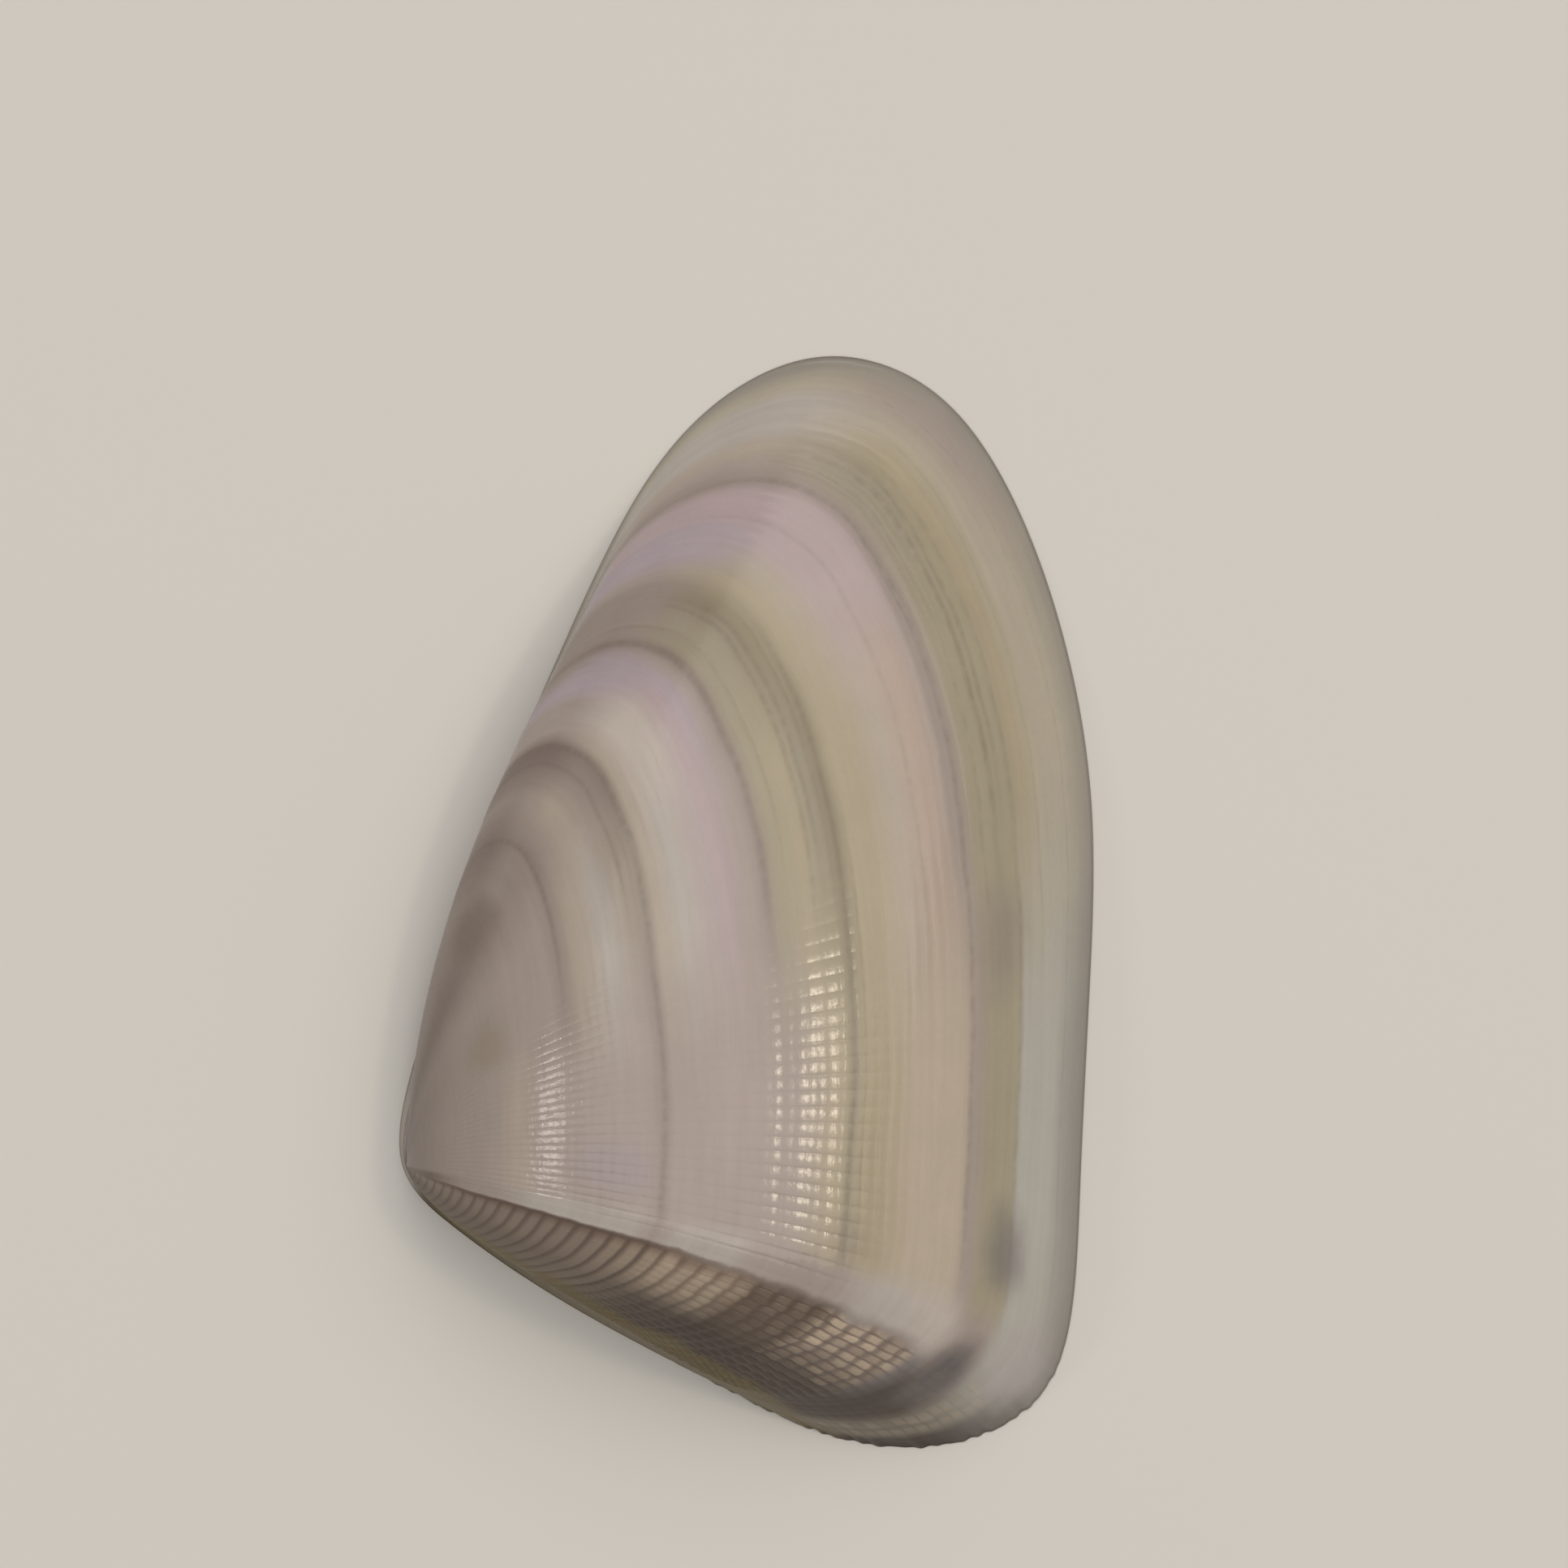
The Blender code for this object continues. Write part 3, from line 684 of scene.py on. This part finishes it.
for reached_at, half, first, last, darkness in PAUSE_LINES:
    gap = add(tree, "Math", {"operation": "SUBTRACT"}, {0: swayed, 1: reached_at}).outputs[0]
    away = add(tree, "Math", {"operation": "ABSOLUTE"}, {0: gap}).outputs[0]
    near = add(tree, "MapRange", SMOOTH,
               {"Value": away, "From Min": half, "From Max": 0.0, "To Max": darkness}).outputs[0]
    opens = add(tree, "MapRange", SMOOTH,
                {"Value": turn, "From Min": first - LINE_FADE, "From Max": first + LINE_FADE}).outputs[0]
    shuts = add(tree, "MapRange", SMOOTH,
                {"Value": turn, "From Min": last + LINE_FADE, "From Max": last - LINE_FADE}).outputs[0]
    span = add(tree, "Math", TIMES, {0: opens, 1: shuts}).outputs[0]
    line = add(tree, "Math", TIMES, {0: near, 1: span}).outputs[0]
    share = add(tree, "Math", TIMES, {0: line, 1: dotted}).outputs[0]
    colour = add(tree, "Mix", COLOURS_MIXED,
                 {"Factor": share, 6: colour, 7: linear(COLOURS["bark"])}).outputs[2]

# furrows between the flat ribs of the disc, painted darker in umber as painted shade in the grooves
to_furrow = add(tree, "Math", {"operation": "PINGPONG"}, {0: rib, 1: 0.5}).outputs[0]
furrow = add(tree, "MapRange", SMOOTH,
             {"Value": to_furrow, "From Min": 0.20, "From Max": 0.0}).outputs[0]
ribbed = add(tree, "MapRange", SMOOTH,
             {"Value": turn, "From Min": 9.6, "From Max": 11.0}).outputs[0]
unribbed = add(tree, "MapRange", SMOOTH,
               {"Value": turn, "From Min": 14.1, "From Max": 13.6}).outputs[0]
ripe = add(tree, "MapRange", SMOOTH,
           {"Value": age, "From Min": 0.12, "From Max": 0.22}).outputs[0]
old = add(tree, "MapRange", SMOOTH,
          {"Value": age, "From Min": 0.75, "From Max": 0.69}).outputs[0]
ribbed = add(tree, "Math", TIMES, {0: ribbed, 1: unribbed}).outputs[0]
ribbed = add(tree, "Math", TIMES, {0: ribbed, 1: ripe}).outputs[0]
ribbed = add(tree, "Math", TIMES, {0: ribbed, 1: old}).outputs[0]
furrows = add(tree, "Math", TIMES, {0: furrow, 1: ribbed}).outputs[0]
furrow_shade_strength = add(tree, "MapRange", SMOOTH,
               {"Value": turn, "From Min": 11.4, "From Max": 13.0, "To Min": 0.03, "To Max": 0.40}).outputs[0]
grooved = add(tree, "MapRange", SMOOTH,
              {"Value": age, "From Min": 0.30, "From Max": 0.54, "To Min": 0.15}).outputs[0]
furrow_shade_strength = add(tree, "Math", TIMES, {0: furrow_shade_strength, 1: grooved}).outputs[0]
healed = add(tree, "MapRange", SMOOTH,
             {"Value": age, "From Min": 0.76, "From Max": 0.67, "To Min": 0.12}).outputs[0]
furrow_shade_strength = add(tree, "Math", TIMES, {0: furrow_shade_strength, 1: healed}).outputs[0]
patchy = add(tree, "MapRange", SMOOTH,
             {"Value": waver, "From Min": 0.32, "From Max": 0.60, "To Min": 0.15}).outputs[0]
furrow_shade_strength = add(tree, "Math", TIMES, {0: furrow_shade_strength, 1: patchy}).outputs[0]
share = add(tree, "Math", TIMES, {0: furrows, 1: furrow_shade_strength}).outputs[0]
share = add(tree, "Math", TIMES, {0: share, 1: dotted}).outputs[0]
colour = add(tree, "Mix", COLOURS_MIXED, {"Factor": share, 6: colour, 7: linear(COLOURS["umber"])}).outputs[2]

# rear slope: rows of scales with dark lines between them, cut into pale beads by the furrows of the cords
sloping = add(tree, "MapRange", SMOOTH,
              {"Value": fuzzy, "From Min": 14.18, "From Max": 14.30, "To Max": rearmost}).outputs[0]
cord_at = add(tree, "Math", TIMES_PLUS,
              {0: turn, 1: 1 / CORD_PITCH, 2: -CORD_START / CORD_PITCH - 0.35}).outputs[0]
cord_at = add(tree, "Math", TIMES_PLUS, {0: ragged, 1: 0.7, 2: cord_at}).outputs[0]
cord_number = add(tree, "Math", {"operation": "FLOOR"}, {0: cord_at}).outputs[0]
corded = add(tree, "MapRange", SMOOTH,
             {"Value": age, "From Min": 0.46, "From Max": 0.74, "To Max": 0.95}).outputs[0]
own = add(tree, "TexWhiteNoise", {"noise_dimensions": "1D"}, {"W": cord_number}).outputs["Value"]
own = add(tree, "Math", TIMES, {0: own, 1: corded}).outputs[0]
row_at = add(tree, "Math", TIMES_PLUS, {0: age, 1: 1 / BEAD_PITCH, 2: -0.1}).outputs[0]
row_at = add(tree, "Math", TIMES_PLUS, {0: own, 1: 0.22, 2: row_at}).outputs[0]
row_at = add(tree, "Math", TIMES_PLUS, {0: ragged, 1: 0.35, 2: row_at}).outputs[0]
row_number = add(tree, "Math", {"operation": "FLOOR"}, {0: row_at}).outputs[0]
row_at = add(tree, "Math", {"operation": "FRACT"}, {0: row_at}).outputs[0]
which = add(tree, "CombineXYZ", {}, {"X": cord_number, "Y": row_number}).outputs[0]
chance = add(tree, "TexWhiteNoise", {"noise_dimensions": "2D"}, {"Vector": which}).outputs["Value"]
rises = add(tree, "MapRange", SMOOTH,
            {"Value": row_at, "From Min": -0.05, "From Max": 0.42}).outputs[0]
drops = add(tree, "MapRange", SMOOTH,
            {"Value": row_at, "From Min": 1.05, "From Max": 0.78}).outputs[0]
scale_face = add(tree, "Math", TIMES, {0: rises, 1: drops}).outputs[0]
closed = add(tree, "Math", TIMES, {0: corded, 1: 0.35}).outputs[0]
scale_face = add(tree, "Math", {"operation": "MAXIMUM"}, {0: scale_face, 1: closed}).outputs[0]
# each bead is broadest at its outer end
cord_fold = add(tree, "Math", {"operation": "PINGPONG"}, {0: cord_at, 1: 0.5}).outputs[0]
cord_fold = add(tree, "Math", TIMES_PLUS, {0: row_at, 1: 0.12, 2: cord_fold}).outputs[0]
cord_face = add(tree, "MapRange", SMOOTH,
                {"Value": cord_fold, "From Min": 0.02, "From Max": 0.28}).outputs[0]
cord_face = add(tree, "Mix", VALUES_MIXED, {"Factor": corded, 2: 1.0, 3: cord_face}).outputs[0]
bead_face = add(tree, "Math", TIMES, {0: scale_face, 1: cord_face}).outputs[0]
chance = add(tree, "Math", TIMES_PLUS, {0: chance, 1: 0.75, 2: 0.45}).outputs[0]
chance = add(tree, "Mix", VALUES_MIXED, {"Factor": corded, 2: 0.9, 3: chance}).outputs[0]
bead_face = add(tree, "Math", {"operation": "MULTIPLY", "use_clamp": True},
                {0: bead_face, 1: chance}).outputs[0]
between = add(tree, "Math", {"operation": "SUBTRACT"}, {0: 1.0, 1: bead_face}).outputs[0]
for shows, tint, mask in [(BEADS_SHOW, "sand", bead_face), (ROWS_SHOW, "rust", between)]:
    strength = add(tree, "ValToRGB", {}, {"Fac": age})
    elements = strength.color_ramp.elements
    elements[0].position, elements[1].position = shows[0][0], shows[-1][0]
    elements[0].color, elements[1].color = [(value, value, value, 1.0) for value in (shows[0][1], shows[-1][1])]
    for at, value in shows[1:-1]:
        elements.new(at).color = (value, value, value, 1.0)
    share = add(tree, "Math", TIMES, {0: mask, 1: strength.outputs[0]}).outputs[0]
    share = add(tree, "Math", TIMES, {0: share, 1: sloping}).outputs[0]
    colour = add(tree, "Mix", COLOURS_MIXED, {"Factor": share, 6: colour, 7: linear(COLOURS[tint])}).outputs[2]
# a dark strip below the keel, and painted shade in peat brown down where the slope turns under, away from the
# light
stripe = add(tree, "MapRange", SMOOTH,
             {"Value": fuzzy, "From Min": 14.08, "From Max": 14.15}).outputs[0]
striped = add(tree, "MapRange", SMOOTH,
              {"Value": fuzzy, "From Min": 14.45, "From Max": 14.22}).outputs[0]
youthful = add(tree, "MapRange", SMOOTH,
               {"Value": age, "From Min": 0.74, "From Max": 0.50, "To Max": 0.60}).outputs[0]
stripe = add(tree, "Math", TIMES, {0: stripe, 1: striped}).outputs[0]
stripe = add(tree, "Math", TIMES, {0: stripe, 1: youthful}).outputs[0]
colour = add(tree, "Mix", COLOURS_MIXED, {"Factor": stripe, 6: colour, 7: linear(COLOURS["rust"])}).outputs[2]
under_shade_strength = add(tree, "MapRange", SMOOTH,
              {"Value": age, "From Min": 0.42, "From Max": 0.58, "To Min": 0.40, "To Max": 0.92}).outputs[0]
clears = add(tree, "MapRange", SMOOTH,
             {"Value": age, "From Min": 0.915, "From Max": 0.885, "To Min": 0.25}).outputs[0]
under_shade_strength = add(tree, "Math", TIMES, {0: under_shade_strength, 1: clears}).outputs[0]
under_shade_strength = add(tree, "Math", TIMES, {0: under_shade_strength, 1: rearmost}).outputs[0]
under = add(tree, "MapRange", SMOOTH,
            {"Value": fuzzy, "From Min": 14.60, "From Max": 15.4, "To Max": under_shade_strength}).outputs[0]
colour = add(tree, "Mix", COLOURS_MIXED, {"Factor": under, 6: colour, 7: linear(COLOURS["peat"])}).outputs[2]

# the thin horny film that still clings along the rear upper edge
filmed = add(tree, "MapRange", SMOOTH,
             {"Value": add(tree, "Math", TIMES_PLUS, {0: ragged, 1: 0.8, 2: turn}).outputs[0],
              "From Min": 16.10, "From Max": 16.5, "To Max": 0.9}).outputs[0]
filmed = add(tree, "Math", TIMES, {0: filmed, 1: rearmost}).outputs[0]
colour = add(tree, "Mix", COLOURS_MIXED, {"Factor": filmed, 6: colour, 7: linear(COLOURS["film"])}).outputs[2]

# cloudiness of the mineral, the fine growth lines and a grain lighten and darken everything outside
cloud = add(tree, "TexNoise", {},
            {"Vector": space, "Scale": CLOUD_SCALE, "Detail": 4.0, "Roughness": 0.6}).outputs["Fac"]
grain = add(tree, "TexNoise", {}, {"Vector": space, "Scale": GRAIN_SCALE, "Detail": 2.0}).outputs["Fac"]
tone = add(tree, "Math", TIMES_PLUS, {0: cloud, 1: 0.14, 2: 0.79}).outputs[0]
tone = add(tree, "Math", TIMES_PLUS, {0: fine, 1: 0.13, 2: tone}).outputs[0]
tone = add(tree, "Math", TIMES_PLUS, {0: grain, 1: 0.05, 2: tone}).outputs[0]
colour = add(tree, "HueSaturation", {}, {"Color": colour, "Value": tone}).outputs["Color"]

# inside: white and porcelain-like, with a lilac flush in the vault
flush = add(tree, "MapRange", SMOOTH,
            {"Value": add(tree, "Math", TIMES_PLUS, {0: cloud, 1: 0.5, 2: size}).outputs[0],
             "From Min": 1.45, "From Max": 2.0, "To Max": 0.8}).outputs[0]
inside = add(tree, "Mix", COLOURS_MIXED,
             {"Factor": flush, 6: linear(COLOURS["milk"]), 7: linear(COLOURS["blush"])}).outputs[2]
within = add(tree, "MapRange", SMOOTH,
             {"Value": size, "From Min": 1.001, "From Max": 1.010}).outputs[0]
colour = add(tree, "Mix", COLOURS_MIXED, {"Factor": within, 6: colour, 7: inside}).outputs[2]
tree.links.new(colour, surface.inputs["Base Color"])

# relief too fine for the mesh, in micrometres: the furrows, and ridges along the growth lines a third of a
# millimetre apart, which break the gloss up into small tiles
bend = add(tree, "Math", TIMES_PLUS, {0: fine, 1: 0.006, 2: swayed}).outputs[0]
plates = add(tree, "Math", {"operation": "PINGPONG"}, {0: bend, 1: PLATE_HALF}).outputs[0]
plates = add(tree, "MapRange", SMOOTH,
             {"Value": plates, "From Min": 0.0, "From Max": PLATE_HALF}).outputs[0]
# across each rib the dome is a parabola, higher on the young shell, so that its gloss breaks up into dashes
domes = add(tree, "Math", {"operation": "SUBTRACT"}, {0: 1.0, 1: to_furrow}).outputs[0]
domes = add(tree, "Math", TIMES, {0: domes, 1: to_furrow}).outputs[0]
domed = add(tree, "MapRange", SMOOTH,
            {"Value": age, "From Min": 0.28, "From Max": 0.34, "To Min": 40.0, "To Max": 14.0}).outputs[0]
risen = add(tree, "MapRange", SMOOTH,
            {"Value": age, "From Min": 0.56, "From Max": 0.62, "To Max": 18.0}).outputs[0]
domed = add(tree, "Math", {"operation": "ADD"}, {0: domed, 1: risen}).outputs[0]
domes = add(tree, "Math", TIMES, {0: domes, 1: domed}).outputs[0]
height = add(tree, "Math", TIMES, {0: domes, 1: ribbed}).outputs[0]
# each small tile leans its own way
leans_at = add(tree, "CombineXYZ", {}, {
    "X": add(tree, "Math", TIMES, {0: age, 1: TILE_ROWS}).outputs[0],
    "Y": add(tree, "Math", TIMES, {0: rib, 1: 1.3}).outputs[0]}).outputs[0]
leans = add(tree, "TexNoise", {"noise_dimensions": "2D"},
            {"Vector": leans_at, "Scale": 1.0, "Detail": 2.0}).outputs["Fac"]
leans = add(tree, "Math", TIMES, {0: leans, 1: ribbed}).outputs[0]
height = add(tree, "Math", TIMES_PLUS, {0: leans, 1: 8.0, 2: height}).outputs[0]
height = add(tree, "Math", TIMES_PLUS, {0: furrows, 1: -2.5, 2: height}).outputs[0]
tiled = add(tree, "MapRange", SMOOTH,
            {"Value": age, "From Min": 0.32, "From Max": 0.55, "To Min": 0.8, "To Max": 4.0}).outputs[0]
height = add(tree, "Math", TIMES_PLUS, {0: plates, 1: tiled, 2: height}).outputs[0]
height = add(tree, "Math", TIMES_PLUS, {0: fine, 1: 6.0, 2: height}).outputs[0]
height = add(tree, "Math", TIMES_PLUS, {0: grain, 1: 2.0, 2: height}).outputs[0]
scaly = add(tree, "Math", TIMES, {0: bead_face, 1: sloping}).outputs[0]
beaded = add(tree, "MapRange", SMOOTH,
             {"Value": age, "From Min": 0.85, "From Max": 0.82, "To Min": 3.0, "To Max": 25.0}).outputs[0]
height = add(tree, "Math", TIMES_PLUS, {0: scaly, 1: beaded, 2: height}).outputs[0]
height = add(tree, "Mix", VALUES_MIXED, {"Factor": within, 2: height, 3: 0.0}).outputs[0]
bump = add(tree, "Bump", {}, {"Height": height, "Strength": 1.0, "Distance": 1e-6})
tree.links.new(bump.outputs["Normal"], surface.inputs["Normal"])
dullest = add(tree, "Math", TIMES_PLUS, {0: rearmost, 1: DULL_SLOPE, 2: GLOSS}).outputs[0]
dull = add(tree, "MapRange", {}, {"Value": turn, "From Min": 14.2, "From Max": 14.8,
                                  "To Min": GLOSS, "To Max": dullest}).outputs[0]
dull = add(tree, "Mix", VALUES_MIXED, {"Factor": within, 2: dull, 3: GLOSS_INSIDE}).outputs[0]
dull = add(tree, "Math", TIMES_PLUS, {0: cloud, 1: 0.08, 2: dull}).outputs[0]
tree.links.new(dull, surface.inputs["Roughness"])
surface.inputs["IOR"].default_value = REFRACTION
shell.data.materials.append(aragonite)
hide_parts("right_valve")
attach(shell, "root")

# Table. A smooth pale board, painted matt, so that it takes a soft shadow and gives no gloss. Nothing but
# the shell lies on it.
TABLE_HALF = 1.5
TABLE_PAINT = "#d9d6d0"
table = bmesh.new()
bmesh.ops.create_grid(table, x_segments=1, y_segments=1, size=TABLE_HALF)
board = bpy.data.objects.new("table", bpy.data.meshes.new("table"))
bpy.context.scene.collection.objects.link(board)
table.to_mesh(board.data)
table.free()
paint = bpy.data.materials.new("matt white paint")
paint.use_nodes = True
paint.node_tree.nodes["Principled BSDF"].inputs["Base Color"].default_value = linear(TABLE_PAINT)
paint.node_tree.nodes["Principled BSDF"].inputs["Roughness"].default_value = 0.7
board.data.materials.append(paint)

# Studio light. A broad soft box hangs overhead, and two small ones lay their gloss along the shell's two
# sides. Pale walls all round fill the shadows.
WALLS = "#e8e8ea"
WALL_LIGHT = 0.38
SOFT_BOXES = [
    # name, direction from the shell, distance, width and depth in metres, watts, colour
    ("overhead_softbox", (0.15, 0.20, 0.95), 0.9, (1.6, 1.6), 7.8, "#fffaf2"),
    ("right_softbox", (0.52, 0.04, 0.85), 0.5, (0.08, 0.05), 0.20, "#fff0d8"),
    ("left_softbox", (-0.76, 0.03, 0.63), 0.5, (0.07, 0.05), 0.13, "#fbf4f2"),
]
for name, direction, distance, (width, depth), watts, tint in SOFT_BOXES:
    lamp = bpy.data.lights.new(name, "AREA")
    lamp.shape = "RECTANGLE"
    lamp.size = width
    lamp.size_y = depth
    lamp.energy = watts
    lamp.color = linear(tint)[:3]
    holder = bpy.data.objects.new(name, lamp)
    holder.location = Vector(direction).normalized() * distance
    holder.rotation_euler = Vector(direction).to_track_quat("Z", "Y").to_euler()
    bpy.context.scene.collection.objects.link(holder)
world = bpy.data.worlds.new("studio")
world.use_nodes = True
world.node_tree.nodes["Background"].inputs["Color"].default_value = linear(WALLS)
world.node_tree.nodes["Background"].inputs["Strength"].default_value = WALL_LIGHT
bpy.context.scene.world = world
bpy.context.scene.view_settings.view_transform = "Standard"

# Camera. It looks straight down from far back with a long lens, as in the photograph, and the shell lies
# low in the frame.
MM = 0.001
VIEW_CENTRE = (1.31, 4.10)      # middle, width and height of the view, in mm
VIEW_WIDTH = 54.6
VIEW_HEIGHT = 600.0
SENSOR = 36.0
lens = bpy.data.cameras.new("camera")
lens.sensor_width = SENSOR
lens.lens = SENSOR * VIEW_HEIGHT / VIEW_WIDTH
lens.clip_start = 10 * MM
camera = bpy.data.objects.new("camera", lens)
camera.location = (VIEW_CENTRE[0] * MM, VIEW_CENTRE[1] * MM, VIEW_HEIGHT * MM)
bpy.context.scene.collection.objects.link(camera)
bpy.context.scene.camera = camera
